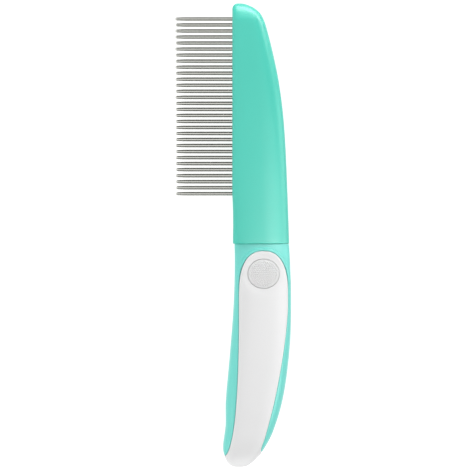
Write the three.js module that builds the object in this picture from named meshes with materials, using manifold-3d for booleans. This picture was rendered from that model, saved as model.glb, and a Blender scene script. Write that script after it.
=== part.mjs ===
// Pet comb: thirty steel pins, each free to turn, in a two-shell head on a slim handle with two grip covers.
// Millimetres. +X runs from the pin tips to the spine, +Y from the butt to the tip of the head, and +Z out of
// the front face. The origin is under the middle of the comb's box, on the surface that the comb lies on.
import * as THREE from "three";
import { mergeVertices } from "three/addons/utils/BufferGeometryUtils.js";
import Module from "manifold-3d";

// Overall size
const LENGTH = 200;
const WIDTH = 50;
const THICKNESS = 18;
const TIP_Y = LENGTH / 2;
const BUTT_Y = -LENGTH / 2;
const MID_Z = THICKNESS / 2;
const GAP = 0.3; // left between pieces that meet
const END_FLAT = 0.25; // share of the thickness that the very ends keep

// Head: two shells that meet on the middle plane
const SEAM_Y = -3.7; // where the head ends and the neck begins
const HEAD_FACE_X = -0.4; // the narrow flat face that the pins stand out of
const HEAD_WALL = 2;
const HEAD_TIP_ROUND = 8; // length over which the tip thins
const HEAD_HALF = { atSeam: 6, pastTaper: 5.5, taperEnd: 40 }; // half thicknesses, and the y between them
const FACE_TRIM = 0.4; // cut off the lofted body to leave the flat face
const HEAD_FACE_POWER = 9; // superellipse powers of the two edges: nearly square at the pins,
const HEAD_SPINE_POWER = 3; // well rounded along the spine
const HOLLOW = { low: 2, high: 88, behindStrips: 0.8, thicknessShare: 0.9 };
const POST_RADIUS = 2.2;
const POST_FROM_SPINE = 5;
const POST_MAX_X = 14;
const POST_Z = { end: -3, root: 5, socketRoot: -5, boreTop: 6 }; // counted from the middle plane
const SOCKET_WALL = 1.6;
const POST_STATIONS = [8, 24, 52, 76]; // the first two pass through the tang

// Pins and the two strips that carry them
const PIN_COUNT = 30;
const PIN_PITCH = 2.6;
const FIRST_PIN_Y = 17.9;
const PIN_LENGTH = 30;
const PIN_RADIUS = 0.8;
const PIN_TIP_RADIUS = 0.7; // just behind the blunt tip
const PIN_TIP_LENGTH = 2.6;
const COLLAR_RADIUS = 1.1;
const COLLAR_LENGTH = 1;
const COLLAR_BACK_X = WIDTH / -2 + PIN_LENGTH; // of the pin that reaches furthest
const BORE_CLEARANCE = 0.06;
const BAR_FACE_X = HEAD_FACE_X + 0.2;
const BAR_DEPTH = 4;
const BAR_HALF = 2.2; // half the height of both strips
const BAR_MARGIN = 1.9; // from the end pins to the ends of the bar
const RETAINER_DEPTH = 2.8;
const GROOVE_DEPTH = 1.5;
const GROOVE_HALF = 1.35;
const GROOVE_MARGIN = 1.4; // from the end pins to the ends of the groove
const SLIP = { handleEnd: 0.28, wave: 0.06, waveStep: 2.4 }; // how the pins sit in their end play

// Handle core: neck, side rails, web under the grips, and the tang
const TANG = { left: 8.5, right: 19.5, top: 31, half: 2, root: 6 };
const BUTT_ROUND = 15; // length over which the butt thins
const CORE_END_Y = -88; // the grips are solid from here to the butt
const BODY_POWER = 2.6;
const PLINTH_POWER = 3;
const PLINTH_LIFT = 0.3;
const WEB_HALF = 1.3;
const WEB_TOP_Y = -7;
const POCKET = { width: 12, height: 10 };
const POCKET_STATIONS = [-29, -47, -65];
const PEG_STATIONS = [-38, -56, -74];
const PEG_RADIUS = 1.8;
const PEG_END = 0.6; // from the middle plane
const PEG_ROOT = 1; // how far each peg runs into the grip's wall

// Grips and thumb pads
const GRIP_POWER = 3.4;
const GRIP_WALL = 2.3;
const GRIP_BODY_TOP_Y = -4.5; // clear of the grip's own rounded top
const PLINTH_MARGIN = 1.2; // the green band around each grip
const GRIP_TOP = { x: 13, y: -24, halfWidth: 10.6, height: 17.3, power: 2.35 };
const PAD = { x: 13, y: -16.4, halfWidth: 6.7, halfHeight: 6.35, thickness: 1.4, crown: 0.35, tilt: 10 };
const PAD_SINK = 0.35; // of the pad's face below the grip

// Faceting
const RING_POINTS = 24;
const HEAD_STATIONS = 16;
const HANDLE_STATIONS = 18;
const PIN_SIDES = 10;
const HOLE_SIDES = 10;
const POST_SIDES = 16;
const PAD_SIDES = 32;
const CUT_TOLERANCE = 0.003; // shorter edges than this are dropped from what a join or cut leaves

const PLASTIC = { roughness: 0.35, metalness: 0 };
const headGreen = new THREE.MeshStandardMaterial({ color: 0x5ad6c0, ...PLASTIC });
const coreGreen = new THREE.MeshStandardMaterial({ color: 0x6fe3cf, ...PLASTIC });
const gripWhite = new THREE.MeshStandardMaterial({ color: 0xe9e9e9, roughness: 0.45, metalness: 0 });
const padWhite = new THREE.MeshStandardMaterial({ color: 0xdfdfdf, roughness: 0.6, metalness: 0 });
const barGreen = new THREE.MeshStandardMaterial({ color: 0x4fc4b0, ...PLASTIC });
const pinSteel = new THREE.MeshStandardMaterial({ color: 0xb9bcb2, roughness: 0.25, metalness: 1 });

const wasm = await Module();
wasm.setup();

// ---- Curves ----

// A smooth curve through points given as [value, y], read as a function of y. Its points run one way in y.
function curveOverY(points) {
  const spline = new THREE.SplineCurve(points.map(([value, y]) => new THREE.Vector2(value, y)));
  const rising = points[points.length - 1][1] > points[0][1];
  return (y) => {
    let low = 0;
    let high = 1;
    for (let step = 0; step < 40; step++) {
      const middle = (low + high) / 2;
      if (spline.getPoint(middle).y < y === rising) low = middle;
      else high = middle;
    }
    return spline.getPoint(low).x;
  };
}

// 1 along the body, falling at its end as a quarter of an ellipse does, to the small flat that ends it.
function roundedEnd(distanceToEnd, length) {
  if (distanceToEnd >= length) return 1;
  const share = 1 - Math.max(distanceToEnd, 0) / length;
  return Math.max(Math.sqrt(1 - share * share), END_FLAT);
}

const headSpine = curveOverY([
  [5.6, 100],
  [9.2, 98],
  [13.4, 92.6],
  [16.3, 82.5],
  [19.7, 66.5],
  [22.3, 44.5],
  [23.5, 19],
  [24.2, -9],
]);
const headFace = curveOverY([
  [2.6, 100],
  [0.9, 99.2],
  [-0.5, 97.6],
  [HEAD_FACE_X - FACE_TRIM, 94],
  [HEAD_FACE_X - FACE_TRIM, 18],
  [HEAD_FACE_X, -9],
]);
function headHalf(y) {
  const { atSeam, pastTaper, taperEnd } = HEAD_HALF;
  const half = THREE.MathUtils.mapLinear(Math.min(y, taperEnd), taperEnd, SEAM_Y, pastTaper, atSeam);
  return half * roundedEnd(TIP_Y - y, HEAD_TIP_ROUND);
}

const handleRight = curveOverY([
  [23.9, 0],
  [24.65, -14],
  [25, -31],
  [24.4, -48],
  [21.7, -69],
  [17.4, -84],
  [13, -92.4],
  [7.7, -98],
  [4, BUTT_Y],
]);
const handleLeft = curveOverY([
  [0.45, 0],
  [0.65, -14],
  [0.05, -32],
  [-1.6, -53],
  [-3.2, -71.5],
  [-3.3, -82],
  [-4.2, -91.5],
  [-2.2, -98],
  [1, BUTT_Y],
]);
const buttRound = (y) => roundedEnd(y - BUTT_Y, BUTT_ROUND);
const bodyProfile = curveOverY([
  [5.4, 0],
  [5.7, -11],
  [7.3, -21],
  [8.2, -31],
  [8.4, -52],
  [8.2, -72],
  [7.8, -84],
  [7.6, -102],
]);
// Past half the thickness the grips are cut flat, which gives each cover the land that the comb lies on.
const gripProfile = curveOverY([
  [5.2, 0],
  [6.1, -8],
  [7.6, -16.4],
  [8.8, -23.5],
  [9.15, -32],
  [9.25, -52],
  [9.1, -72],
  [8.6, -84],
  [8.4, -102],
]);
const bodyHalf = (y) => bodyProfile(y) * buttRound(y);
const gripHalf = (y) => gripProfile(y) * buttRound(y);
const plinthHalf = (y) => (bodyHalf(y) + gripHalf(y)) / 2 + PLINTH_LIFT * buttRound(y);
const handleMiddle = (y) => (handleLeft(y) + handleRight(y)) / 2;

// ---- Geometry ----

// Heights from low to high, closing up towards whichever end is rounded.
function stations(low, high, count, roundEnd) {
  return Array.from({ length: count + 1 }, (_, i) => {
    const share = i / count;
    if (roundEnd === "high") return low + (high - low) * Math.sin((share * Math.PI) / 2);
    if (roundEnd === "low") return high + (low - high) * Math.cos((share * Math.PI) / 2);
    return low + (high - low) * share;
  });
}

// One cross-section in X and Z: two half superellipses that meet over its middle.
function section({ left, right, half, leftPower, rightPower }) {
  const middle = (left + right) / 2;
  return Array.from({ length: RING_POINTS }, (_, i) => {
    const angle = (i / RING_POINTS) * 2 * Math.PI;
    const cos = Math.cos(angle);
    const sin = Math.sin(angle);
    const power = 2 / (cos >= 0 ? rightPower : leftPower);
    return [
      middle + ((right - left) / 2) * Math.sign(cos) * Math.abs(cos) ** power,
      MID_Z + half * Math.sign(sin) * Math.abs(sin) ** power,
    ];
  });
}

// A closed body whose cross-section at each station in y is the one that sectionAt gives.
function loft(ys, sectionAt) {
  const rings = ys.map((y) => section(sectionAt(y)).map(([x, z]) => [x, y, z]));
  const around = RING_POINTS;
  const positions = rings.flat(2);
  const index = [];
  for (let ring = 0; ring < rings.length - 1; ring++) {
    for (let i = 0; i < around; i++) {
      const here = ring * around + i;
      const beside = ring * around + ((i + 1) % around);
      index.push(here, here + around, beside, here + around, beside + around, beside);
    }
  }
  [0, rings.length - 1].forEach((ring) => {
    const centre = positions.length / 3;
    const start = ring * around;
    positions.push((rings[ring][0][0] + rings[ring][around / 2][0]) / 2, ys[ring], MID_Z);
    for (let i = 0; i < around; i++) {
      const beside = start + ((i + 1) % around);
      if (ring === 0) index.push(centre, start + i, beside);
      else index.push(centre, beside, start + i);
    }
  });
  const geometry = new THREE.BufferGeometry();
  geometry.setAttribute("position", new THREE.Float32BufferAttribute(positions, 3));
  return geometry.setIndex(index);
}

function toSolid(geometry) {
  const bare = geometry.clone();
  bare.deleteAttribute("normal");
  bare.deleteAttribute("uv");
  const merged = mergeVertices(bare, 1e-5);
  return new wasm.Manifold(
    new wasm.Mesh({
      numProp: 3,
      vertProperties: merged.attributes.position.array,
      triVerts: new Uint32Array(merged.index.array),
      tolerance: CUT_TOLERANCE,
    }),
  );
}

function toGeometry(solid) {
  const { numProp, vertProperties, triVerts } = solid.getMesh();
  const positions = new Float32Array((vertProperties.length / numProp) * 3);
  for (let i = 0; i < positions.length / 3; i++) {
    positions.set(vertProperties.subarray(i * numProp, i * numProp + 3), i * 3);
  }
  const geometry = new THREE.BufferGeometry();
  geometry.setAttribute("position", new THREE.BufferAttribute(positions, 3));
  geometry.setIndex(new THREE.BufferAttribute(triVerts, 1));
  geometry.computeVertexNormals();
  return geometry;
}

// A box between two corners, with z counted from the middle plane.
function block([x0, y0, z0], [x1, y1, z1]) {
  const box = new THREE.BoxGeometry(x1 - x0, y1 - y0, z1 - z0);
  return toSolid(box.translate((x0 + x1) / 2, (y0 + y1) / 2, MID_Z + (z0 + z1) / 2));
}

// A round post along Z, with z counted from the middle plane.
function post(x, y, radius, z0, z1) {
  const cylinder = new THREE.CylinderGeometry(radius, radius, z1 - z0, POST_SIDES).rotateX(Math.PI / 2);
  return toSolid(cylinder.translate(x, y, MID_Z + (z0 + z1) / 2));
}

const joined = (solids) => solids.reduce((all, next) => all.add(next));

const FAR = 300; // past every face of the comb
// The half of space in front of (side 1) or behind (side -1) the middle plane, half a gap away from it.
const halfSpace = (side) =>
  side > 0 ? block([-FAR, -FAR, GAP / 2], [FAR, FAR, FAR]) : block([-FAR, -FAR, -FAR], [FAR, FAR, GAP / -2]);

// ---- Head ----

function headBody(inset, low, high, faceX) {
  return toSolid(
    loft(stations(low, high, HEAD_STATIONS, "high"), (y) => ({
      left: faceX ?? headFace(y),
      right: headSpine(y) - inset,
      half: headHalf(y) - inset * HOLLOW.thicknessShare,
      leftPower: HEAD_FACE_POWER,
      rightPower: HEAD_SPINE_POWER,
    })),
  );
}

const lastPinY = FIRST_PIN_Y + (PIN_COUNT - 1) * PIN_PITCH;
const barEnds = [FIRST_PIN_Y - BAR_MARGIN, lastPinY + BAR_MARGIN];
const barBackX = BAR_FACE_X + BAR_DEPTH;
const retainerBackX = barBackX + GAP + RETAINER_DEPTH;
const postX = (y) => Math.min(POST_MAX_X, headSpine(y) - POST_FROM_SPINE);

function makeHead() {
  const squareFace = block([HEAD_FACE_X, -FAR, -FAR], [FAR, FAR, FAR]);
  const outer = headBody(0, SEAM_Y, TIP_Y).intersect(squareFace);
  const hollow = headBody(HEAD_WALL, HOLLOW.low, HOLLOW.high, retainerBackX + GAP + HOLLOW.behindStrips);
  const stripSlot = block(
    [HEAD_FACE_X - 1, barEnds[0] - GAP, -BAR_HALF - GAP],
    [retainerBackX + GAP, barEnds[1] + GAP, BAR_HALF + GAP],
  );
  const tangSlot = block(
    [TANG.left - GAP, SEAM_Y - 1, -TANG.half - GAP],
    [TANG.right + GAP, TANG.top + GAP, TANG.half + GAP],
  );
  const hollowed = outer.subtract(hollow).subtract(stripSlot);
  // The posts stand on the front shell and end inside sockets on the rear shell.
  const throughTang = (y) => y < TANG.top;
  const posts = POST_STATIONS.map((y) => post(postX(y), y, POST_RADIUS, POST_Z.end, POST_Z.root));
  const sockets = POST_STATIONS.map((y) => {
    const socketTop = throughTang(y) ? -TANG.half - GAP : GAP / -2;
    return post(postX(y), y, POST_RADIUS + GAP + SOCKET_WALL, POST_Z.socketRoot, socketTop);
  });
  const bores = POST_STATIONS.map((y) =>
    post(postX(y), y, POST_RADIUS + GAP, POST_Z.end - GAP, POST_Z.boreTop),
  );
  const front = hollowed.subtract(tangSlot).intersect(halfSpace(1)).add(joined(posts).intersect(outer));
  const rear = hollowed
    .subtract(tangSlot)
    .intersect(halfSpace(-1))
    .add(joined(sockets).intersect(outer))
    .subtract(joined(bores));
  return { front, rear };
}

function makePinBar() {
  const bar = block([BAR_FACE_X, barEnds[0], -BAR_HALF], [barBackX, barEnds[1], BAR_HALF]);
  const radius = (PIN_RADIUS + BORE_CLEARANCE) / Math.cos(Math.PI / HOLE_SIDES);
  const bores = Array.from({ length: PIN_COUNT }, (_, i) => {
    const drill = new THREE.CylinderGeometry(radius, radius, BAR_DEPTH + 2, HOLE_SIDES).rotateZ(Math.PI / 2);
    return toSolid(drill.translate((BAR_FACE_X + barBackX) / 2, FIRST_PIN_Y + i * PIN_PITCH, MID_Z));
  });
  return bar.subtract(joined(bores));
}

function makePinRetainer() {
  const front = barBackX + GAP;
  const strip = block([front, barEnds[0], -BAR_HALF], [retainerBackX, barEnds[1], BAR_HALF]);
  const grooveEnds = [FIRST_PIN_Y - GROOVE_MARGIN, lastPinY + GROOVE_MARGIN];
  return strip.subtract(
    block([front - 1, grooveEnds[0], -GROOVE_HALF], [front + GROOVE_DEPTH, grooveEnds[1], GROOVE_HALF]),
  );
}

// A pin along +Y, from the back of its collar to its blunt tip.
function pinGeometry() {
  const tip = PIN_LENGTH - PIN_TIP_LENGTH;
  const profile = [
    [0, 0],
    [COLLAR_RADIUS, 0],
    [COLLAR_RADIUS, COLLAR_LENGTH],
    [PIN_RADIUS, COLLAR_LENGTH],
    [PIN_RADIUS, tip - PIN_TIP_LENGTH],
  ];
  for (let angle = 0; angle < 90; angle += 30) {
    const turn = THREE.MathUtils.degToRad(angle);
    profile.push([PIN_TIP_RADIUS * Math.cos(turn), tip + PIN_TIP_LENGTH * Math.sin(turn)]);
  }
  profile.push([0, PIN_LENGTH]);
  return new THREE.LatheGeometry(
    profile.map(([radius, y]) => new THREE.Vector2(radius, y)),
    PIN_SIDES,
  );
}

// How far each pin has slipped back in its end play: more towards the handle, and never quite alike.
function slipOf(i) {
  const fromTip = PIN_COUNT - 1 - i;
  return (SLIP.handleEnd * fromTip) / (PIN_COUNT - 1) + SLIP.wave * (1 - Math.cos(SLIP.waveStep * fromTip));
}

// ---- Handle ----

function handleLoft(half, power, low, high) {
  return toSolid(
    loft(stations(low, high, HANDLE_STATIONS, low === BUTT_Y ? "low" : "none"), (y) => ({
      left: handleLeft(y),
      right: handleRight(y),
      half: half(y),
      leftPower: power,
      rightPower: power,
    })),
  );
}

// The outline of a grip, seen from the front and grown all round: a rounded top, two long sides, and past
// them an edge that clears the butt, so that the covers wrap it.
function gripPrism(grow, z0, z1) {
  const { x, y, halfWidth, height, power } = GRIP_TOP;
  const top = Array.from({ length: 21 }, (_, i) => {
    const angle = (i / 20) * Math.PI;
    const bend = (value) => Math.sign(value) * Math.abs(value) ** (2 / power);
    return [x + (halfWidth + grow) * bend(Math.cos(angle)), y + (height + grow) * bend(Math.sin(angle))];
  });
  const leftSide = new THREE.SplineCurve(
    [
      [2.3, -24],
      [2.2, -50],
      [1.1, -74],
      [-0.9, -88],
      [-3.6, -94.8],
      [-10, -99.5],
    ].map(([px, py]) => new THREE.Vector2(px - grow, py)),
  );
  const rightSide = new THREE.SplineCurve(
    [
      [22, -103],
      [15, -93.6],
      [12.8, -90.4],
      [13.7, -86.4],
      [18.1, -69],
      [21.8, -48.5],
      [23.5, -33],
      [23.6, -24],
    ].map(([px, py]) => new THREE.Vector2(px + grow, py)),
  );
  const corners = [
    [-10 - grow, -110],
    [22 + grow, -110],
  ].map(([px, py]) => new THREE.Vector2(px, py));
  const outline = [
    ...top.slice(0, -1).map(([px, py]) => new THREE.Vector2(px, py)),
    ...leftSide.getPoints(24),
    ...corners,
    ...rightSide.getPoints(30).slice(0, -1),
  ];
  const depth = z1 - z0;
  const extruded = new THREE.ExtrudeGeometry(new THREE.Shape(outline), { depth, bevelEnabled: false });
  return toSolid(extruded.translate(0, 0, MID_Z + z0));
}

// The thumb pad's seat: an oval plug standing along Z about the origin, which the pad and its recess share.
function padPlug(grow, z0, z1) {
  const plug = new THREE.CylinderGeometry(1, 1, z1 - z0, PAD_SIDES).rotateX(Math.PI / 2);
  return plug.scale(PAD.halfWidth + grow, PAD.halfHeight + grow, 1).translate(0, 0, (z0 + z1) / 2);
}

// Turns and moves geometry modelled about the origin to the thumb pad's place on one side of the handle.
function padPlace(side) {
  const place = new THREE.Group();
  place.rotation.set(side > 0 ? 0 : Math.PI, 0, 0);
  place.rotateX(THREE.MathUtils.degToRad(-side * PAD.tilt));
  place.position.set(PAD.x, PAD.y, MID_Z + side * (gripHalf(PAD.y) - PAD_SINK));
  return place;
}

function padRecess(side) {
  const place = padPlace(side);
  place.updateMatrix();
  return toSolid(padPlug(GAP, -PAD.thickness - GAP, 4).applyMatrix4(place.matrix));
}

function makeHandle() {
  const faces = block([-FAR, -FAR, -MID_Z], [FAR, FAR, MID_Z]);
  const gripBody = handleLoft(gripHalf, GRIP_POWER, BUTT_Y, GRIP_BODY_TOP_Y).intersect(faces);
  const body = handleLoft(bodyHalf, BODY_POWER, BUTT_Y, SEAM_Y - GAP);
  const plinthBody = handleLoft(plinthHalf, PLINTH_POWER, BUTT_Y, GRIP_BODY_TOP_Y);
  const plinth = plinthBody.intersect(gripPrism(PLINTH_MARGIN, -MID_Z, MID_Z));
  const inner = (shrink, low, high) => handleLoft((y) => gripHalf(y) - shrink, GRIP_POWER, low, high);
  const seats = gripPrism(GAP, -2 * MID_Z, 2 * MID_Z);
  const pegs = (side) =>
    PEG_STATIONS.map((y) => {
      const high = gripHalf(y) - GRIP_WALL + PEG_ROOT;
      const ends = side > 0 ? [PEG_END, high] : [-high, -PEG_END];
      return post(handleMiddle(y), y, PEG_RADIUS, ...ends);
    });

  const webBody = inner(GRIP_WALL + GAP, CORE_END_Y, WEB_TOP_Y);
  const web = webBody.intersect(gripPrism(2 * GAP, -MID_Z, MID_Z));
  const tang = block([TANG.left, SEAM_Y - TANG.root, -TANG.half], [TANG.right, TANG.top, TANG.half]);
  const pockets = POCKET_STATIONS.flatMap((y) => {
    const x = handleMiddle(y);
    const corner = [x - POCKET.width / 2, y - POCKET.height / 2];
    const opposite = [x + POCKET.width / 2, y + POCKET.height / 2];
    return [
      block([...corner, WEB_HALF], [...opposite, FAR]),
      block([...corner, -FAR], [...opposite, -WEB_HALF]),
    ];
  });
  const pegHoles = PEG_STATIONS.map((y) => post(handleMiddle(y), y, PEG_RADIUS + GAP, -MID_Z, MID_Z));
  const tangHoles = POST_STATIONS.filter((y) => y < TANG.top).map((y) =>
    post(postX(y), y, POST_RADIUS + GAP, -MID_Z, MID_Z),
  );
  const core = body
    .add(plinth)
    .subtract(seats)
    .add(web)
    .subtract(joined(pockets))
    .subtract(padRecess(1))
    .subtract(padRecess(-1))
    .add(tang)
    .subtract(joined([...pegHoles, ...tangHoles]));

  const grip = (side) =>
    gripBody
      .intersect(gripPrism(0, -2 * MID_Z, 2 * MID_Z))
      .intersect(halfSpace(side))
      .subtract(inner(GRIP_WALL, CORE_END_Y - GAP, 0))
      .add(joined(pegs(side)))
      .subtract(padRecess(side));
  return { core, frontGrip: grip(1), rearGrip: grip(-1) };
}

// A thumb pad about the origin: an oval disc with a crowned face, flush at its edge.
function padGeometry() {
  const dome = new THREE.SphereGeometry(1, 32, 16).scale(
    PAD.halfWidth * 1.02,
    PAD.halfHeight * 1.02,
    PAD.thickness + PAD.crown,
  );
  const capped = toSolid(padPlug(0, -PAD.thickness, 1)).intersect(
    toSolid(dome.scale(1.6, 1.6, 1).translate(0, 0, -PAD.thickness)),
  );
  return toGeometry(capped);
}

// ---- Assembly ----

const comb = new THREE.Group();

function addPart(name, geometry, material, parent = comb) {
  const mesh = new THREE.Mesh(geometry, material);
  mesh.name = name;
  parent.add(mesh);
  return mesh;
}

const head = makeHead();
addPart("head_front_shell", toGeometry(head.front), headGreen);
addPart("head_rear_shell", toGeometry(head.rear), headGreen);
addPart("pin_bar", toGeometry(makePinBar()), barGreen);
addPart("pin_retainer", toGeometry(makePinRetainer()), barGreen);

// Pin 1 is the one nearest the tip of the head.
const pinShape = pinGeometry();
for (let number = 1; number <= PIN_COUNT; number++) {
  const i = PIN_COUNT - number;
  const pin = addPart(`pin_${String(number).padStart(2, "0")}`, pinShape, pinSteel);
  pin.rotation.z = Math.PI / 2;
  pin.position.set(COLLAR_BACK_X + slipOf(i), FIRST_PIN_Y + i * PIN_PITCH, MID_Z);
}

const handle = makeHandle();
addPart("handle_core", toGeometry(handle.core), coreGreen);
addPart("front_grip", toGeometry(handle.frontGrip), gripWhite);
addPart("rear_grip", toGeometry(handle.rearGrip), gripWhite);

const padShape = padGeometry();
[
  ["front_thumb_pad", 1],
  ["rear_thumb_pad", -1],
].forEach(([name, side]) => {
  const place = padPlace(side);
  comb.add(place);
  addPart(name, padShape, padWhite, place);
});

export default comb;
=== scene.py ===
import math

import bmesh
import bpy
import numpy as np
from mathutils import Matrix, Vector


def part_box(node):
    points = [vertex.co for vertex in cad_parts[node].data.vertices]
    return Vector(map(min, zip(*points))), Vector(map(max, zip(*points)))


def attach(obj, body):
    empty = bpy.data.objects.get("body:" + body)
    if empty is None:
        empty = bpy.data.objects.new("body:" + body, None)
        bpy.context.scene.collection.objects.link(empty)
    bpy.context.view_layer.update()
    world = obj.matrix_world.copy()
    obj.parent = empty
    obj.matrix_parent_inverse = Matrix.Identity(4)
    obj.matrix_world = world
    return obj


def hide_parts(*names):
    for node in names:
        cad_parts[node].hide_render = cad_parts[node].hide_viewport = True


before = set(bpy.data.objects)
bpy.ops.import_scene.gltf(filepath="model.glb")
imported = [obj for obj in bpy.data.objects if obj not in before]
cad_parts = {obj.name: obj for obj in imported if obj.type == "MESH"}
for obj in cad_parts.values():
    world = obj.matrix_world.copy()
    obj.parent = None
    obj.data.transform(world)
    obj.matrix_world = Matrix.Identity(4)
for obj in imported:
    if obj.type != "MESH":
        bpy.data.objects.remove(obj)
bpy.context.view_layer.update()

MM = 0.001
PIN_COUNT = 30
GAP = 0.3
MID_Z = 9.0  # height of the middle plane that the front and rear halves meet on
SEAM_Y = -3.7  # where the head ends and the neck begins
ROOT = "comb"


# ---- Curves ----


def curve(points):
    """A smooth curve through [value, y] points, as a function of y. The points run one way in y."""
    p = np.array(points, float)
    padded = np.vstack([p[0], p, p[-1]])
    samples = []
    for a, b, c, d in zip(padded, padded[1:], padded[2:], padded[3:]):
        t = np.linspace(0, 1, 41)[:, None]
        before, here, after = (np.linalg.norm(v) for v in (b - a, c - b, d - c))
        v0 = (c - a) * here / (before + here)
        v1 = (d - b) * here / (here + after)
        samples.append((2 * b - 2 * c + v0 + v1) * t**3 + (-3 * b + 3 * c - 2 * v0 - v1) * t**2 + v0 * t + b)
    track = np.vstack(samples)
    track = track[np.argsort(track[:, 1], kind="stable")]
    return lambda y: np.interp(y, track[:, 1], track[:, 0])


def rounded_end(distance, length):
    """1 along the body, falling to 0 at its end as a quarter of an ellipse does."""
    share = np.clip(1 - np.maximum(distance, 0) / length, 0, 1)
    return np.sqrt(1 - share**2)


def smooth_step(low, high, value):
    t = np.clip((value - low) / (high - low), 0, 1)
    return t * t * (3 - 2 * t)


TIP_Y = 100.0
BUTT_Y = -100.0
FACE_X = -0.4  # the flat face that the pins stand out of
FACE_CORNER = 2.8  # radius of the head's corner beyond the first pin
HEAD_TIP_ROUND = 9  # lengths over which the two ends thin to nothing
BUTT_ROUND = 15
head_spine = curve(
    [
        (FACE_X + FACE_CORNER, TIP_Y),
        (4.8, 99.75),
        (6.9, 99.0),
        (9.2, 97.8),
        (11.6, 95.7),
        (13.3, 92.7),
        (14.7, 88.3),
        (16.9, 79.7),
        (19.6, 66.8),
        (21.6, 51.8),
        (22.7, 36),
        (23.4, 19.5),
        (24.2, -4),
        (24.3, -9),
    ]
)
face_below_pins = curve([(FACE_X, 30), (FACE_X, 18), (-0.2, 12.5), (-0.08, 6), (-0.15, -2), (-0.15, -9)])


def head_face(y):
    corner = np.clip(y - (TIP_Y - FACE_CORNER), 0, FACE_CORNER)
    return face_below_pins(y) + FACE_CORNER - np.sqrt(FACE_CORNER**2 - corner**2)


def head_half(y):
    return np.interp(y, [SEAM_Y, 40], [6, 5.5]) * rounded_end(TIP_Y - y, HEAD_TIP_ROUND)


handle_right = curve(
    [
        (23.9, 0),
        (24.65, -14),
        (25, -31),
        (24.4, -48),
        (21.7, -69),
        (17.4, -84),
        (13, -92.4),
        (9.8, -96.2),
        (7.6, -98.2),
        (5.3, -99.5),
        (2.2, BUTT_Y),
    ]
)
handle_left = curve(
    [
        (0.45, 0),
        (0.65, -14),
        (0.05, -32),
        (-1.6, -53),
        (-3.2, -71.5),
        (-3.3, -82),
        (-4.4, -91.5),
        (-3.5, -95.6),
        (-2.1, -98),
        (-0.4, -99.4),
        (2.2, BUTT_Y),
    ]
)
body_profile = curve(
    [(5.4, 0), (5.7, -11), (7.3, -21), (8.2, -31), (8.4, -52), (8.2, -72), (7.8, -84), (7.6, -102)]
)
grip_profile = curve(
    [
        (5.2, 0),
        (6.1, -8),
        (7.6, -16.4),
        (8.8, -23.5),
        (9.15, -32),
        (9.2, -52),
        (9.1, -72),
        (8.6, -84),
        (8.4, -102),
    ]
)


def butt_round(y):
    return rounded_end(y - BUTT_Y, BUTT_ROUND)


def body_half(y):
    return body_profile(y) * butt_round(y)


def grip_half(y):
    return np.minimum(grip_profile(y), MID_Z) * butt_round(y)


# The grip's outline seen from the front: a rounded top, then two long sides that run out past the butt.
GRIP_TOP_Y = -24.0
PAST_BUTT_Y = -103.0
GRIP_TOP = {"x": 13.0, "half_width": 10.6, "height": 17.3, "power": 2.35}
side_left = curve([(2.3, -24), (2.2, -50), (1.1, -74), (-0.9, -88), (-3.6, -94.8), (-10, -99.5)])
side_right = curve(
    [
        (23.6, -24),
        (23.5, -33),
        (21.8, -48.5),
        (18.1, -69),
        (13.7, -86.4),
        (12.4, -90.2),
        (12.2, -92.9),
        (14.3, -96),
        (22, -105.5),
    ]
)


def outline(y, grow=0.0):
    """Left and right x of the grip's outline at each y, grown. Above its top both are its middle."""
    top = GRIP_TOP
    rise = np.clip((y - GRIP_TOP_Y) / (top["height"] + grow), 0, 1)
    reach = (top["half_width"] + grow) * (1 - rise ** top["power"]) ** (1 / top["power"])
    above = y > GRIP_TOP_Y
    left = np.where(above, top["x"] - reach, side_left(y) - grow)
    right = np.where(above, top["x"] + reach, side_right(y) + grow)
    return left, right


def outline_track(grow=0.0):
    """The outline's left and right edges as one polyline from butt to top to butt."""
    rise = np.sin(np.linspace(0, math.pi / 2, 90))
    sides = np.linspace(PAST_BUTT_Y, GRIP_TOP_Y, 150)[:-1]
    ys = np.concatenate([sides, GRIP_TOP_Y + rise * (GRIP_TOP["height"] + grow)])
    left, right = outline(ys, grow)
    return np.vstack([np.column_stack([left, ys]), np.column_stack([right, ys])[::-1][1:]])


def distance_to(track, x, y):
    """Shortest distance in the front view from each point to the polyline."""
    start = track[:-1]
    along = track[1:] - start
    length2 = np.maximum((along**2).sum(1), 1e-9)
    flat = np.column_stack([x.ravel(), y.ravel()])
    best = np.full(len(flat), 1e9)
    for (sx, sy), (ax, ay), l2 in zip(start, along, length2):
        t = np.clip(((flat[:, 0] - sx) * ax + (flat[:, 1] - sy) * ay) / l2, 0, 1)
        best = np.minimum(best, np.hypot(flat[:, 0] - sx - t * ax, flat[:, 1] - sy - t * ay))
    return best.reshape(x.shape)


# ---- Meshes ----

MERGE_M = 2e-6  # vertices of a piece closer than this are one
SHARP = 35.0  # edges that turn by more degrees than this are drawn sharp


def finish_mesh(name, verts, faces, material, stands_for, sharp=SHARP):
    """Makes a piece of the comb's body from vertices in millimetres, with the middle plane at z = 0."""
    verts = np.asarray(verts, float) + [0, 0, MID_Z]
    mesh = bpy.data.meshes.new(name)
    mesh.from_pydata((verts * MM).tolist(), [], [tuple(int(i) for i in f) for f in faces])
    bm = bmesh.new()
    bm.from_mesh(mesh)
    bmesh.ops.remove_doubles(bm, verts=bm.verts, dist=MERGE_M)
    bmesh.ops.dissolve_degenerate(bm, edges=bm.edges, dist=MERGE_M / 2)
    bmesh.ops.recalc_face_normals(bm, faces=bm.faces)
    bm.to_mesh(mesh)
    bm.free()
    mesh.materials.append(material)
    mesh.shade_smooth()
    mesh.set_sharp_from_angle(angle=math.radians(sharp))
    piece = bpy.data.objects.new(name, mesh)
    bpy.context.scene.collection.objects.link(piece)
    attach(piece, ROOT)
    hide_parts(stands_for)
    return piece


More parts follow.
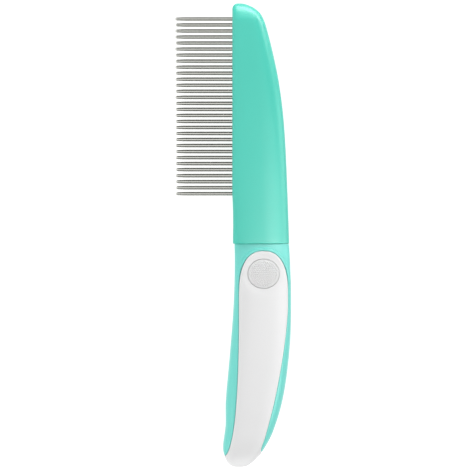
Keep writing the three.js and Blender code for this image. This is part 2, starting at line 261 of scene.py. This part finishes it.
def grid_faces(rows, columns, wrap=False):
    faces = []
    last = columns if wrap else columns - 1
    for r in range(rows - 1):
        for c in range(last):
            a = r * columns + c
            b = r * columns + (c + 1) % columns
            faces.append((a, b, b + columns, a + columns))
    return faces


def mirrored(verts):
    return np.asarray(verts) * [1, 1, -1]


def surface_normals(points):
    """Unit normals of a grid of points, all on one side. A point with none takes its neighbours' mean."""
    du = np.gradient(points, axis=1)
    dv = np.gradient(points, axis=0)
    n = np.cross(du, dv)
    size = np.linalg.norm(n, axis=2, keepdims=True)
    flat = size[..., 0] < 1e-7
    n = n / np.maximum(size, 1e-12)
    if flat.any():
        for r, c in zip(*np.nonzero(flat)):
            around = (slice(max(r - 2, 0), r + 3), slice(max(c - 2, 0), c + 3))
            near = n[around][~flat[around]]
            if len(near):
                mean = near.mean(0)
                n[r, c] = mean / max(np.linalg.norm(mean), 1e-9)
    return n


def spaced(stops):
    """Values from [start, step] stops, each run spaced evenly at about its step, up to the last stop."""
    values = []
    for (start, step), (end, _) in zip(stops, stops[1:]):
        count = max(1, round(abs(end - start) / step))
        values.extend(np.linspace(start, end, count, endpoint=False))
    return np.array([*values, stops[-1][0]])


# ---- Head ----

BAR_LOW, BAR_HIGH = 15.7, 95.5  # ends of the slot for the pin strips
SLOT_HALF = 2.5
SLOT_BACK = 7.2
TANG_SLOT = (8.2, 19.8, 2.3)  # left, right and half depth of the slot for the core's tang
TIP_ROWS = 8  # length at the tip over which the sections draw close
HEAD_POINTS = 120
SECTION_SAMPLES = 1501  # of the exact section, which the head's points are then spread along
SPINE_POWER = 2.7  # superellipse powers: well rounded along the spine, nearly square at the pins
FACE_POWER = 7.5
CROWN = 0.45  # how far the head's face falls away from its middle line
HEAD_FILLET = 0.45  # at the seam with the neck
HEAD_WALL = 2
HEAD_SKIN = 1.8  # thickness over the hollow
TANG_SLOT_END = 1.0  # above this the shell is hollow, up to HOLLOW_END
HOLLOW_END = 88.0


def head_section(y, inset=0.0):
    """The outer half-section at y, from the spine to the pin face, as x and z of evenly spread points."""
    left = head_face(y) + inset
    right = head_spine(y) - inset
    half = max(head_half(y) - inset, 0.0)
    angle = np.linspace(0, math.pi, SECTION_SAMPLES)
    cos = np.cos(angle)
    sin = np.sin(angle)
    power = np.where(cos >= 0, SPINE_POWER, FACE_POWER)
    x = (left + right) / 2 + (right - left) / 2 * np.sign(cos) * np.abs(cos) ** (2 / power)
    z = half * np.abs(sin) ** (2 / power)
    crown = CROWN * np.minimum(1, half / 6)
    across = (x - (left + right) / 2) / max((right - left) / 2, 1e-6)
    z -= crown * across**2 * (z / max(half, 1e-6))
    # The points are spread by length, and closer where the section turns.
    step = np.hypot(np.diff(x), np.diff(z))
    heading = np.unwrap(np.arctan2(np.diff(z), np.diff(x) + 1e-12))
    turn = np.abs(np.diff(heading, prepend=heading[0]))
    weight = step / max(step.sum(), 1e-9) + 0.12 * turn
    reach = np.concatenate([[0], np.cumsum(weight)])
    even = np.linspace(0, reach[-1], HEAD_POINTS)
    return np.interp(even, reach, x), np.interp(even, reach, z)


def head_stations():
    """Heights of the head's sections: close at both rounded ends, and doubled where its inside changes."""
    low = [SEAM_Y + HEAD_FILLET * (1 - math.cos(a)) for a in np.linspace(0, math.pi / 2, 7)]
    middle = list(spaced([(0.2, 1.3), (BAR_LOW, 1.3), (TIP_Y - TIP_ROWS, 1)]))
    high = [TIP_Y - TIP_ROWS * (1 - math.sin(a)) for a in np.linspace(0, math.pi / 2, 40)][1:]
    edges = [TANG_SLOT_END, HOLLOW_END, BAR_LOW, BAR_HIGH]
    just_past = [e + 0.002 for e in edges]
    return sorted(set([round(v, 6) for v in low + middle + high + edges + just_past]))


def head_inside(y, x_low, x_high, slot, floor):
    """The inner half-section at y, from the pin face to the spine: strip slot, parting face and hollow."""
    if y <= TANG_SLOT_END:
        left, right, hollow = TANG_SLOT
    elif y <= HOLLOW_END:
        left, right, hollow = SLOT_BACK + 0.8, head_spine(y) - HEAD_WALL, head_half(y) - HEAD_SKIN
    else:
        left, right, hollow = SLOT_BACK + 0.8, SLOT_BACK + 1.6, floor
    shoulder = right - 0.15 * (right - left)
    x = [x_low, SLOT_BACK, SLOT_BACK, left, left, (left + right) / 2, shoulder, right, right]
    z = [slot, slot, floor, floor, hollow * 0.97, hollow, hollow * 0.85, hollow * 0.4, floor]
    return np.clip(x, x_low, x_high), np.clip(z, floor, max(head_half(y) - 0.8, floor))


def head_shell():
    """The front shell: outer skin, parting faces, the slot for the pin strips and the hollow behind it."""
    stations = head_stations()
    floor = GAP / 2
    verts = []
    for y in stations:
        drop = max(SEAM_Y + HEAD_FILLET - y, 0)
        inset = HEAD_FILLET - math.sqrt(max(HEAD_FILLET**2 - drop**2, 0))
        x, z = head_section(y, inset)
        z = np.maximum(z, floor)
        slot = SLOT_HALF if BAR_LOW < y <= BAR_HIGH + 0.001 else floor
        slot = min(slot, max(head_half(y) - 1, floor))
        on_face = np.abs(x - x.min()) < 1e-4
        z[on_face] = np.maximum(z[on_face], slot)
        z[-1] = slot
        inner_x, inner_z = head_inside(y, x.min(), x.max(), slot, floor)
        ring_x = np.concatenate([x, inner_x])
        ring_z = np.concatenate([z, inner_z])
        verts.append(np.column_stack([ring_x, np.full(len(ring_x), y), ring_z]))
    around = len(verts[0])
    faces = grid_faces(len(stations), around, wrap=True)
    faces.append(tuple(range(around)))
    top = (len(stations) - 1) * around
    faces.append(tuple(range(top, top + around)))
    return np.vstack(verts), faces


# ---- Handle ----


def handle_angle(x, left, right, power):
    """The angle round a superellipse section at which its upper half crosses x."""
    reach = np.clip((x - (left + right) / 2) / ((right - left) / 2), -1, 1)
    cos = np.sign(reach) * np.abs(reach) ** (power / 2)
    return np.arccos(np.clip(cos, -1, 1))


def handle_point(angle, y, half, power):
    left = handle_left(y)
    right = handle_right(y)
    cos = np.cos(angle)
    sin = np.sin(angle)
    x = (left + right) / 2 + (right - left) / 2 * np.sign(cos) * np.abs(cos) ** (2 / power)
    return x, half * np.abs(sin) ** (2 / power)


GRIP_POWER = 3.2
BODY_POWER = 2.8
PAD = {"x": 13.0, "y": -16.4, "half_width": 6.7, "half_height": 6.35, "tilt": 10.0}
GRIP_WALL = 1.5
GRIP_COLUMNS = 97
GRIP_EDGE = 0.4  # radius of the rounded edge along each grip's outline
DISH = 0.28  # depth of the shallow dish round each thumb pad
DISH_FROM, DISH_TO = 7.0, 9.2  # distances from the pad's middle over which it fades out


def grip_rows():
    """Heights of the grip's rows, which draw close over these lengths at its top and at the butt."""
    top_rows, butt_rows = 7, 12
    top = GRIP_TOP_Y + GRIP_TOP["height"]
    near_top = [top - top_rows * (1 - math.sin(a)) for a in np.linspace(0, math.pi / 2, 22)]
    middle = spaced([(BUTT_Y + butt_rows, 0.7), (top - top_rows, 1)])[:-1]
    butt = [BUTT_Y + butt_rows * (1 - math.cos(a)) for a in np.linspace(0, math.pi / 2, 30)][:-1]
    return np.array([*butt, *middle, *near_top])


def grip_shell():
    """The front grip: a skin with a rounded edge all along its outline, closed by an inner skin."""
    columns = GRIP_COLUMNS
    ys = grip_rows()[:, None]
    half = grip_half(ys)
    left, right = handle_left(ys), handle_right(ys)
    edge_left, edge_right = outline(ys)
    angle_right = handle_angle(np.minimum(edge_right, right), left, right, GRIP_POWER)
    angle_left = handle_angle(np.maximum(edge_left, left), left, right, GRIP_POWER)
    t = np.linspace(0, 1, columns)[None, :]
    t = 0.5 * t + 0.25 * (1 - np.cos(math.pi * t))
    angle = angle_right + (angle_left - angle_right) * t
    x, z = handle_point(angle, ys, half, GRIP_POWER)
    y = np.broadcast_to(ys, x.shape)
    skin = np.stack([x, y, z], axis=2)
    normals = -surface_normals(skin)
    if normals[len(ys) // 2, columns // 2, 2] < 0:
        normals = -normals
    radius = GRIP_EDGE
    near = distance_to(outline_track(), x, np.asarray(y))
    short = np.clip(radius - near, 0, radius)
    fall = radius - np.sqrt(radius**2 - short**2)
    from_pad = np.hypot((x - PAD["x"]) / 1.02, y - PAD["y"])
    dish = DISH * (1 - smooth_step(DISH_FROM, DISH_TO, from_pad))
    inward = -normals
    outer = skin + inward * (fall + dish)[..., None]
    floor = GAP / 2
    outer[..., 2] = np.maximum(outer[..., 2], floor)
    inner = skin + inward * (GRIP_WALL + radius)
    inner[..., 2] = np.clip(inner[..., 2], floor, None)
    inner[0] = inner[1]
    rows = len(ys)
    faces = grid_faces(rows, columns)
    count = rows * columns
    faces += [tuple(reversed([i + count for i in f])) for f in grid_faces(rows, columns)]
    for r in range(rows - 1):
        for c in (0, columns - 1):
            a, b = r * columns + c, (r + 1) * columns + c
            faces.append((a, b, b + count, a + count))
    for c in range(columns - 1):
        for r in (0, rows - 1):
            a, b = r * columns + c, r * columns + c + 1
            faces.append((a, b, b + count, a + count))
    return np.vstack([outer.reshape(-1, 3), inner.reshape(-1, 3)]), faces


BAND = 1.45  # width of the raised band round the top of each grip
BAND_RISE = 0.5
SEAT_GAP = 0.07  # between each grip's outline and the edge of its seat
SEAT_DEPTH = 3.0
SEAT_LIP = 0.08  # how far the green falls away at the seat's edge
SEAT_SLOPE = 0.35  # distance over which the seat and its lip reach their full depth
BAND_SLOPE = 0.4
BAND_FROM_Y, BAND_FULL_Y = -26.0, -13.0  # the band rises between these heights
CORE_COLUMNS = [36, 12, 40, 12, 36]  # right rail, band, seat (closest at its edges), band, left rail
CORE_MIN_HALVES = {"band": 3.2, "seat": 2.4}  # half widths the columns keep above the grip
CORE_END = -95.6  # the core stops here, and the grips alone close the butt
CORE_SEAM_GAP = 0.06
CORE_FILLET = 0.15  # at the seam with the head


def core_rows():
    """Heights of the core's rows, closest across the top of the grip and at the seam with the head."""
    seam = SEAM_Y - CORE_SEAM_GAP
    top = GRIP_TOP_Y + GRIP_TOP["height"]
    runs = [(-94.5, 0.35), (-88.0, 0.7), (GRIP_TOP_Y, 0.4), (top - 2.0, 0.12), (top + BAND + 0.4, 1)]
    fillet_rows = [seam - CORE_FILLET * math.cos(a) for a in np.linspace(0, math.pi / 2, 5)]
    return np.unique(np.round([CORE_END, CORE_END + 0.3, CORE_END + 0.6, *spaced(runs), *fillet_rows], 5))


def core_surface():
    """The green core: neck, raised band, side rails, and seats sunk under the two grips."""
    ys = core_rows()
    y = ys[:, None]
    left, right = handle_left(y), handle_right(y)
    seat_left, seat_right = outline(y, SEAT_GAP)
    band_left, band_right = outline(y, BAND)

    def to_angle(x):
        return handle_angle(np.clip(x, left, right), left, right, BODY_POWER)

    # Above the grip the two outlines close up to a point, so there the columns keep a little width instead.
    middle = GRIP_TOP["x"]
    above = y > GRIP_TOP_Y
    stops = [
        np.zeros_like(y),
        to_angle(np.where(above, np.maximum(band_right, middle + CORE_MIN_HALVES["band"]), band_right)),
        to_angle(np.where(above, np.maximum(seat_right, middle + CORE_MIN_HALVES["seat"]), seat_right)),
        to_angle(np.where(above, np.minimum(seat_left, middle - CORE_MIN_HALVES["seat"]), seat_left)),
        to_angle(np.where(above, np.minimum(band_left, middle - CORE_MIN_HALVES["band"]), band_left)),
        np.full_like(y, math.pi),
    ]
    parts = []
    for a, b, count in zip(stops, stops[1:], CORE_COLUMNS):
        t = np.linspace(0, 1, count, endpoint=False)[None, :]
        if count == max(CORE_COLUMNS):
            t = 0.5 - 0.5 * np.cos(math.pi * t)
        parts.append(a + (b - a) * t)
    angle = np.concatenate([*parts, stops[-1]], axis=1)
    x, z = handle_point(angle, y, body_half(y), BODY_POWER)
    y_all = np.broadcast_to(y, x.shape)
    skin = np.stack([x, y_all, z], axis=2)
    normals = surface_normals(skin)
    rows, columns = skin.shape[:2]
    if normals[len(ys) // 2, columns // 2, 2] < 0:
        normals = -normals
    in_band = (x > band_left) & (x < band_right)
    in_seat = (x >= seat_left - 1e-6) & (x <= seat_right + 1e-6) & (seat_right - seat_left > 1e-6)
    band_depth = distance_to(outline_track(BAND), x, y_all) * in_band
    from_seat_edge = distance_to(outline_track(SEAT_GAP), x, y_all)
    seat_depth = from_seat_edge * in_seat
    rise = BAND_RISE * smooth_step(0.0, BAND_SLOPE, band_depth) * smooth_step(BAND_FROM_Y, BAND_FULL_Y, y_all)
    room = np.minimum(SEAT_DEPTH, 0.8 * z)
    fall = room * smooth_step(0.0, SEAT_SLOPE, seat_depth)
    lip = smooth_step(SEAT_SLOPE, 0.0, from_seat_edge) * SEAT_LIP
    skin = skin + normals * (rise - fall - lip)[..., None]
    drop = np.clip(ys - (SEAM_Y - CORE_SEAM_GAP - CORE_FILLET), 0, CORE_FILLET)
    inset = CORE_FILLET - np.sqrt(CORE_FILLET**2 - drop**2)
    skin[..., 2] *= (1 - inset / 6)[:, None]
    skin[..., 0] += (inset[:, None] * np.where(x < (left + right) / 2, 1, -1)) * 0.9
    skin[..., 2] = np.maximum(skin[..., 2], 0)
    back = skin * [1, 1, -1]
    count = rows * columns
    faces = grid_faces(rows, columns)
    faces += [tuple(reversed([i + count for i in f])) for f in faces]
    for r in (0, rows - 1):
        front_row = [r * columns + c for c in range(columns)]
        back_row = [count + r * columns + c for c in range(columns - 2, 0, -1)]
        faces.append(tuple(front_row + back_row))
    return np.vstack([skin.reshape(-1, 3), back.reshape(-1, 3)]), faces


PAD_SIDES = 220
PAD_EDGE = 0.05  # share of the radius that the rounded edge takes
PAD_SINK = 0.35  # of the pad's rim below the grip, and the height of its crown
PAD_DEPTH = 1.2
PAD_GAP = 0.12  # all round it, in its recess
DOME_PITCH = 0.95
DOME_RADIUS = 0.33
DOME_HEIGHT = 0.22


def pad_disc():
    """A thumb pad about the origin, face up: a crowned disc with a round edge and rows of small domes."""
    rim_rings = 1 - PAD_EDGE * np.cos(np.linspace(0.2, math.pi / 2, 6))
    rings = np.concatenate([[0], np.linspace(0.03, 1 - PAD_EDGE, 66), rim_rings])
    rings = np.unique(np.round(rings, 6))
    around = PAD_SIDES
    angle = np.linspace(0, 2 * math.pi, around, endpoint=False)
    r, a = np.meshgrid(rings, angle, indexing="ij")
    x = r * np.cos(a) * PAD["half_width"]
    y = r * np.sin(a) * PAD["half_height"]
    z = PAD_SINK * (1 - r**2)
    edge = np.clip(r - (1 - PAD_EDGE), 0, PAD_EDGE) / PAD_EDGE
    z -= 0.3 * (1 - np.sqrt(np.clip(1 - edge**2, 0, 1)))
    row_height = DOME_PITCH * math.sqrt(3) / 2
    best = np.full(x.shape, 9.0)
    row = np.round(y / row_height)
    for k in (-1, 0, 1):
        line = row + k
        shift = 0.5 * DOME_PITCH * (line % 2)
        nearest = np.round((x - shift) / DOME_PITCH) * DOME_PITCH + shift
        best = np.minimum(best, np.hypot(x - nearest, y - line * row_height))
    inside = 1 - smooth_step(0.86, 0.9, r)
    z += DOME_HEIGHT * np.sqrt(np.clip(1 - (best / DOME_RADIUS) ** 2, 0, 1)) * inside
    verts = np.column_stack([x.ravel(), y.ravel(), z.ravel()])
    faces = grid_faces(len(rings), around, wrap=True)
    rim = (len(rings) - 1) * around
    foot = verts[rim : rim + around] * [1, 1, 0] - [0, 0, PAD_DEPTH]
    base = len(verts)
    for i in range(around):
        beside = (i + 1) % around
        faces.append((rim + i, rim + beside, base + beside, base + i))
    faces.append(tuple(range(base, base + around)))
    return np.vstack([verts, foot]), faces


def pad_transform(side):
    """Rotation and place of the thumb pad on that side, with the middle plane at z = 0."""
    tilt = math.radians(-PAD["tilt"])
    turn = np.array([[1, 0, 0], [0, math.cos(tilt), -math.sin(tilt)], [0, math.sin(tilt), math.cos(tilt)]])
    height = float(grip_half(np.array(PAD["y"]))) - PAD_SINK
    return turn, np.array([PAD["x"], PAD["y"], height]), np.array([1, 1, side])


# ---- Materials ----


NOISE_LOW, NOISE_HIGH = 0.15, 0.85  # the range that nearly all of a noise value stays in


class Nodes:
    """A small helper that builds one node material on Principled BSDF."""

    def __init__(self, name):
        self.material = bpy.data.materials.new(name)
        self.material.use_nodes = True
        self.tree = self.material.node_tree
        self.shader = self.tree.nodes["Principled BSDF"]
        self.where = self.tree.nodes.new("ShaderNodeTexCoord").outputs["Object"]

    def new(self, kind):
        return self.tree.nodes.new(kind)

    def link(self, a, b):
        self.tree.links.new(a, b)

    def stretched(self, scale):
        node = self.new("ShaderNodeMapping")
        node.inputs["Scale"].default_value = scale
        self.link(self.where, node.inputs["Vector"])
        return node.outputs["Vector"]

    def noise(self, scale, detail=3.0, roughness=0.5, vector=None):
        node = self.new("ShaderNodeTexNoise")
        node.inputs["Scale"].default_value = scale
        node.inputs["Detail"].default_value = detail
        node.inputs["Roughness"].default_value = roughness
        self.link(vector or self.where, node.inputs["Vector"])
        return node.outputs["Fac"]

    def ramp(self, value, low, high):
        """A colour that runs between two colours as a noise value runs from NOISE_LOW to NOISE_HIGH."""
        node = self.new("ShaderNodeValToRGB")
        node.color_ramp.elements[0].position = NOISE_LOW
        node.color_ramp.elements[1].position = NOISE_HIGH
        node.color_ramp.elements[0].color = (*low, 1)
        node.color_ramp.elements[1].color = (*high, 1)
        self.link(value, node.inputs["Fac"])
        return node.outputs["Color"]

    def span(self, value, low, high):
        node = self.new("ShaderNodeMapRange")
        node.inputs["From Min"].default_value = NOISE_LOW
        node.inputs["From Max"].default_value = NOISE_HIGH
        node.inputs["To Min"].default_value = low
        node.inputs["To Max"].default_value = high
        self.link(value, node.inputs["Value"])
        return node.outputs["Result"]

    def bump(self, height, distance, under=None):
        node = self.new("ShaderNodeBump")
        node.inputs["Distance"].default_value = distance
        self.link(height, node.inputs["Height"])
        if under is not None:
            self.link(under, node.inputs["Normal"])
        return node.outputs["Normal"]

    def finish(self, colour, roughness, normal, **sockets):
        self.link(colour, self.shader.inputs["Base Color"])
        self.link(roughness, self.shader.inputs["Roughness"])
        self.link(normal, self.shader.inputs["Normal"])
        for key, value in sockets.items():
            self.shader.inputs[key.replace("_", " ")].default_value = value
        return self.material


# Mould grains, as depth in metres and noise scale
FINE = (0.000003, 2600.0)
MEDIUM = (0.000004, 2600.0)
MATT = (0.000008, 3400.0)


def moulded_plastic(name, colours, roughnesses, grain):
    """Moulded plastic: slow colour drift, patchy gloss, a fine mould grain and a faint long waviness."""
    n = Nodes(name)
    depth, scale = grain
    colour = n.ramp(n.noise(28.0, 2.0), *colours)
    roughness = n.span(n.noise(90.0, 2.0, 0.4), *roughnesses)
    wave = n.bump(n.noise(45.0, 1.0), 0.00004)
    fine = n.bump(n.noise(scale, 2.0, 0.6), depth, wave)
    return n.finish(colour, roughness, fine)


def polished_steel(name):
    """Polished wire: drawn lines along each pin, with small patches of duller metal."""
    n = Nodes(name)
    drawn = n.noise(1.0, 4.0, 0.6, n.stretched((40.0, 5000.0, 5000.0)))
    patches = n.noise(420.0, 3.0)
    colour = n.ramp(patches, (0.55, 0.555, 0.515), (0.61, 0.615, 0.575))
    roughness = n.span(drawn, 0.17, 0.20)
    return n.finish(colour, roughness, n.bump(drawn, 0.00000003), Metallic=1.0, Specular_Tint=(0, 0, 0, 1))


HEAD_GREENS = [(0.036, 0.425, 0.335), (0.041, 0.440, 0.349)]
CORE_GREENS = [(0.100, 0.500, 0.440), (0.108, 0.515, 0.455)]
BAR_GREENS = [(0.030, 0.420, 0.330), (0.036, 0.450, 0.350)]
GRIP_WHITES = [(0.540, 0.540, 0.542), (0.556, 0.556, 0.558)]
PAD_WHITES = [(0.480, 0.480, 0.482), (0.500, 0.500, 0.502)]
GREEN = moulded_plastic("head_plastic", HEAD_GREENS, [0.27, 0.31], FINE)
GREEN_CORE = moulded_plastic("handle_plastic", CORE_GREENS, [0.29, 0.32], FINE)
GREEN_BAR = moulded_plastic("bar_plastic", BAR_GREENS, [0.32, 0.38], MEDIUM)
WHITE = moulded_plastic("grip_plastic", GRIP_WHITES, [0.46, 0.52], MATT)
WHITE_PAD = moulded_plastic("pad_plastic", PAD_WHITES, [0.50, 0.56], MATT)
STEEL = polished_steel("pin_steel")


# ---- Pieces ----

verts, faces = head_shell()
finish_mesh("head_front", verts, faces, GREEN, stands_for="head_front_shell")
finish_mesh("head_rear", mirrored(verts), faces, GREEN, stands_for="head_rear_shell")

verts, faces = core_surface()
finish_mesh("core", verts, faces, GREEN_CORE, stands_for="handle_core")


RECESS_SIDES = 160
RECESS_HEIGHT = 5.0  # of the cutting disc, whose middle is lifted above the pad's rim
RECESS_LIFT = 1.0


def cut_recess(piece, side):
    """Cuts the thumb pad's seat out of a grip."""
    turn, at, flip = pad_transform(side)
    bm = bmesh.new()
    bmesh.ops.create_cone(bm, cap_ends=True, segments=RECESS_SIDES, radius1=1, radius2=1, depth=1)
    shape = np.array([v.co[:] for v in bm.verts])
    size = [PAD["half_width"] + PAD_GAP, PAD["half_height"] + PAD_GAP, RECESS_HEIGHT]
    shape = shape * size + [0, 0, RECESS_LIFT]
    shape = (shape @ turn.T + at) * flip + [0, 0, MID_Z]
    for v, co in zip(bm.verts, shape * MM):
        v.co = co
    bmesh.ops.recalc_face_normals(bm, faces=bm.faces)
    mesh = bpy.data.meshes.new("cutter")
    bm.to_mesh(mesh)
    bm.free()
    cutter = bpy.data.objects.new("cutter", mesh)
    bpy.context.scene.collection.objects.link(cutter)
    modifier = piece.modifiers.new("cut", "BOOLEAN")
    modifier.operation = "DIFFERENCE"
    modifier.solver = "EXACT"
    modifier.object = cutter
    bpy.context.view_layer.update()
    depsgraph = bpy.context.evaluated_depsgraph_get()
    cut = bpy.data.meshes.new_from_object(piece.evaluated_get(depsgraph))
    piece.modifiers.clear()
    old = piece.data
    piece.data = cut
    bpy.data.meshes.remove(old)
    bpy.data.objects.remove(cutter)
    cut.shade_smooth()
    cut.set_sharp_from_angle(angle=math.radians(SHARP))


verts, faces = grip_shell()
front = finish_mesh("grip_front", verts, faces, WHITE, stands_for="front_grip")
rear = finish_mesh("grip_rear", mirrored(verts), faces, WHITE, stands_for="rear_grip")
cut_recess(front, 1)
cut_recess(rear, -1)

disc, faces = pad_disc()
for name, node, side in (("pad_front", "front_thumb_pad", 1), ("pad_rear", "rear_thumb_pad", -1)):
    turn, at, flip = pad_transform(side)
    placed = (disc @ turn.T + at) * flip
    finish_mesh(name, placed, faces, WHITE_PAD, stands_for=node, sharp=60)


def pin_profile():
    """A pin's outline as [distance from the tip, radius]: rounded nose, taper, wire and the hidden collar."""
    length, radius, tip_radius, taper = 30.0, 0.8, 0.66, 3.4
    collar_radius, collar_length, chamfer = 1.1, 1.0, 0.1
    turns = np.linspace(0, math.pi / 2, 9)
    nose = [(tip_radius * (1 - math.cos(a)) * 1.1, tip_radius * math.sin(a)) for a in turns]
    body = [(taper, radius * 0.985), (taper + 1.2, radius), (length - 1.12, radius)]
    shoulder = length - collar_length
    collar = [
        (shoulder, radius),
        (shoulder, collar_radius - chamfer),
        (shoulder + chamfer, collar_radius),
        (length - chamfer, collar_radius),
        (length, collar_radius - chamfer),
        (length, 0),
    ]
    return nose + body + collar


def pin_mesh():
    """One pin with its tip at the origin and its collar towards +X, turned as on a lathe."""
    profile = pin_profile()
    around = 28
    angle = np.linspace(0, 2 * math.pi, around, endpoint=False)
    ones = np.ones(around)
    verts = np.vstack([np.column_stack([x * ones, r * np.cos(angle), r * np.sin(angle)]) for x, r in profile])
    bm = bmesh.new()
    made = [bm.verts.new(v * MM) for v in verts]
    for f in grid_faces(len(profile), around, wrap=True):
        bm.faces.new([made[i] for i in f])
    bmesh.ops.remove_doubles(bm, verts=bm.verts, dist=1e-7)
    bmesh.ops.dissolve_degenerate(bm, edges=bm.edges, dist=1e-8)
    bmesh.ops.recalc_face_normals(bm, faces=bm.faces)
    mesh = bpy.data.meshes.new("pin")
    bm.to_mesh(mesh)
    bm.free()
    return mesh


pin = pin_mesh()
pin.materials.append(STEEL)
pin.shade_smooth()
pin.set_sharp_from_angle(angle=math.radians(40))
for number in range(1, PIN_COUNT + 1):
    node = f"pin_{number:02d}"
    low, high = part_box(node)
    piece = bpy.data.objects.new(f"steel_{node}", pin)
    piece.location = (low[0], (low[1] + high[1]) / 2, MID_Z * MM)
    bpy.context.scene.collection.objects.link(piece)
    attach(piece, f"turning_{node}")
    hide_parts(node)

for node in ("pin_bar", "pin_retainer"):
    kept = bpy.data.objects[node]
    kept.data.materials.clear()
    kept.data.materials.append(GREEN_BAR)

# ---- Floor, light and camera ----


def floor_paper():
    """Plain pale paper that glows a little, so that it comes out white under a soft light."""
    n = Nodes("floor_paper")
    n.shader.inputs["Emission Color"].default_value = (1, 1, 1, 1)
    n.shader.inputs["Emission Strength"].default_value = 0.85
    tone = n.ramp(n.noise(3.0, 2.0), (0.35, 0.35, 0.35), (0.34825, 0.34825, 0.34825))
    rough = n.span(n.noise(40.0), 0.8, 0.85)
    return n.finish(tone, rough, n.bump(n.noise(300.0), 0.00002))


PLASTIC_PIECES = ["head_front", "head_rear", "core", "grip_front", "grip_rear", "pad_front", "pad_rear"]
FLOOR_Z = -0.0002  # just under the comb, in metres


def add_floor():
    reach = 6.0
    corners = [(-reach, -reach, 0), (reach, -reach, 0), (reach, reach, 0), (-reach, reach, 0)]
    mesh = bpy.data.meshes.new("floor")
    mesh.from_pydata(corners, [], [(0, 1, 2, 3)])
    mesh.materials.append(floor_paper())
    floor = bpy.data.objects.new("floor", mesh)
    floor.location = (0, 0, FLOOR_Z)
    bpy.context.scene.collection.objects.link(floor)


def area_light(name, place_m, size_m, watts, aim=(0, 0, 0), lights_only=None):
    """A soft rectangular lamp turned to that point, which lights every piece or only the named ones."""
    data = bpy.data.lights.new(name, "AREA")
    data.shape = "RECTANGLE"
    data.size, data.size_y = size_m
    data.energy = watts
    lamp = bpy.data.objects.new(name, data)
    lamp.location = place_m
    direction = np.array(aim, float) - np.array(place_m, float)
    pitch = math.acos(-direction[2] / np.linalg.norm(direction))
    heading = math.atan2(direction[1], direction[0]) - math.pi / 2
    lamp.rotation_euler = (pitch, 0, heading)
    bpy.context.scene.collection.objects.link(lamp)
    if lights_only:
        lit = bpy.data.collections.new(f"lit_by_{name}")
        for piece_name in lights_only:
            lit.objects.link(bpy.data.objects[piece_name])
        lamp.light_linking.receiver_collection = lit


def add_world(lobes, base, horizon):
    """Soft light from far away: lobes of (axis, start, full, strength), a dim base and a paler horizon."""
    world = bpy.data.worlds.new("studio")
    world.use_nodes = True
    tree = world.node_tree
    direction = tree.nodes.new("ShaderNodeTexCoord").outputs["Generated"]

    def combine(operation, a, b=None):
        node = tree.nodes.new("ShaderNodeMath")
        node.operation = operation
        tree.links.new(a, node.inputs[0])
        if b is not None:
            tree.links.new(b, node.inputs[1])
        return node.outputs["Value"]

    def along(axis):
        node = tree.nodes.new("ShaderNodeVectorMath")
        node.operation = "DOT_PRODUCT"
        tree.links.new(direction, node.inputs[0])
        node.inputs[1].default_value = np.array(axis, float) / np.linalg.norm(axis)
        return node.outputs["Value"]

    def rise(value, low, high, to_low, to_high):
        node = tree.nodes.new("ShaderNodeMapRange")
        node.interpolation_type = "SMOOTHSTEP"
        for key, number in zip(("From Min", "From Max", "To Min", "To Max"), (low, high, to_low, to_high)):
            node.inputs[key].default_value = number
        tree.links.new(value, node.inputs["Value"])
        return node.outputs["Result"]

    total = rise(combine("ABSOLUTE", along((0, 0, 1))), 0.03, 0.10, horizon, base)
    for axis, start, full, strength in lobes:
        total = combine("ADD", total, rise(along(axis), start, full, 0, strength))
    background = tree.nodes["Background"]
    background.inputs["Color"].default_value = (1, 1, 1, 1)
    tree.links.new(total, background.inputs["Strength"])
    bpy.context.scene.world = world


def add_camera(height, lens, aim_x, aim_y, covers):
    """A camera looking straight down, whose picture is that many metres wide at that height."""
    data = bpy.data.cameras.new("camera")
    data.type = "PERSP"
    data.lens = lens
    data.sensor_width = 36.0
    camera = bpy.data.objects.new("camera", data)
    camera.location = (aim_x, aim_y, height + covers * lens / data.sensor_width)
    bpy.context.scene.collection.objects.link(camera)
    bpy.context.scene.camera = camera


add_floor()
add_world(
    lobes=[
        ((0, -0.15, 1), 0.80, 0.95, 1.15),
        ((1, -0.1, 0.35), 0.3, 0.95, 0.75),
        ((-1, 0, 0.35), 0.3, 0.95, 1.4),
    ],
    base=0.09,
    horizon=0.5,
)
area_light("upper_right", (0.50, 0.50, 0.24), (0.45, 0.35), 2.0)
area_light("upper", (0.12, 0.70, 0.26), (0.45, 0.35), 3.8, lights_only=PLASTIC_PIECES)
area_light("lower", (0.10, -0.75, 0.18), (0.45, 0.35), 2.5, lights_only=PLASTIC_PIECES)
area_light("left", (-0.55, -0.30, 0.26), (0.35, 0.30), 0.6, lights_only=PLASTIC_PIECES)
# Cards that only reflections see, for the sheen on the head's tip and along the lower right of the comb.
HEAD_MIDDLE = (0.012, 0.02, 0)
for name, place_m, size_m, watts in (
    ("card_tip", (0.05, 0.36, 0.28), (0.30, 0.28), 0.8),
    ("card_rim", (0.20, 0.42, 0.10), (0.60, 0.20), 1.6),
    ("card_over", (0.08, -0.04, 0.30), (0.12, 0.16), 0.24),
    ("card_near", (0.13, 0.00, 0.20), (0.10, 0.12), 0.12),
    ("card_side", (0.28, -0.08, 0.22), (0.20, 0.30), 0.45),
    ("card_low", (0.20, -0.16, 0.16), (0.15, 0.20), 0.35),
    ("card_edge", (0.40, 0.02, 0.10), (0.25, 0.35), 0.8),
):
    area_light(name, place_m, size_m, watts, HEAD_MIDDLE, PLASTIC_PIECES)
    bpy.data.objects[name].visible_diffuse = False
add_camera(height=0.010, lens=100.0, aim_x=0.0008, aim_y=0.0001, covers=0.2024)

bpy.context.scene.view_settings.view_transform = "Standard"
bpy.context.scene.view_settings.look = "None"
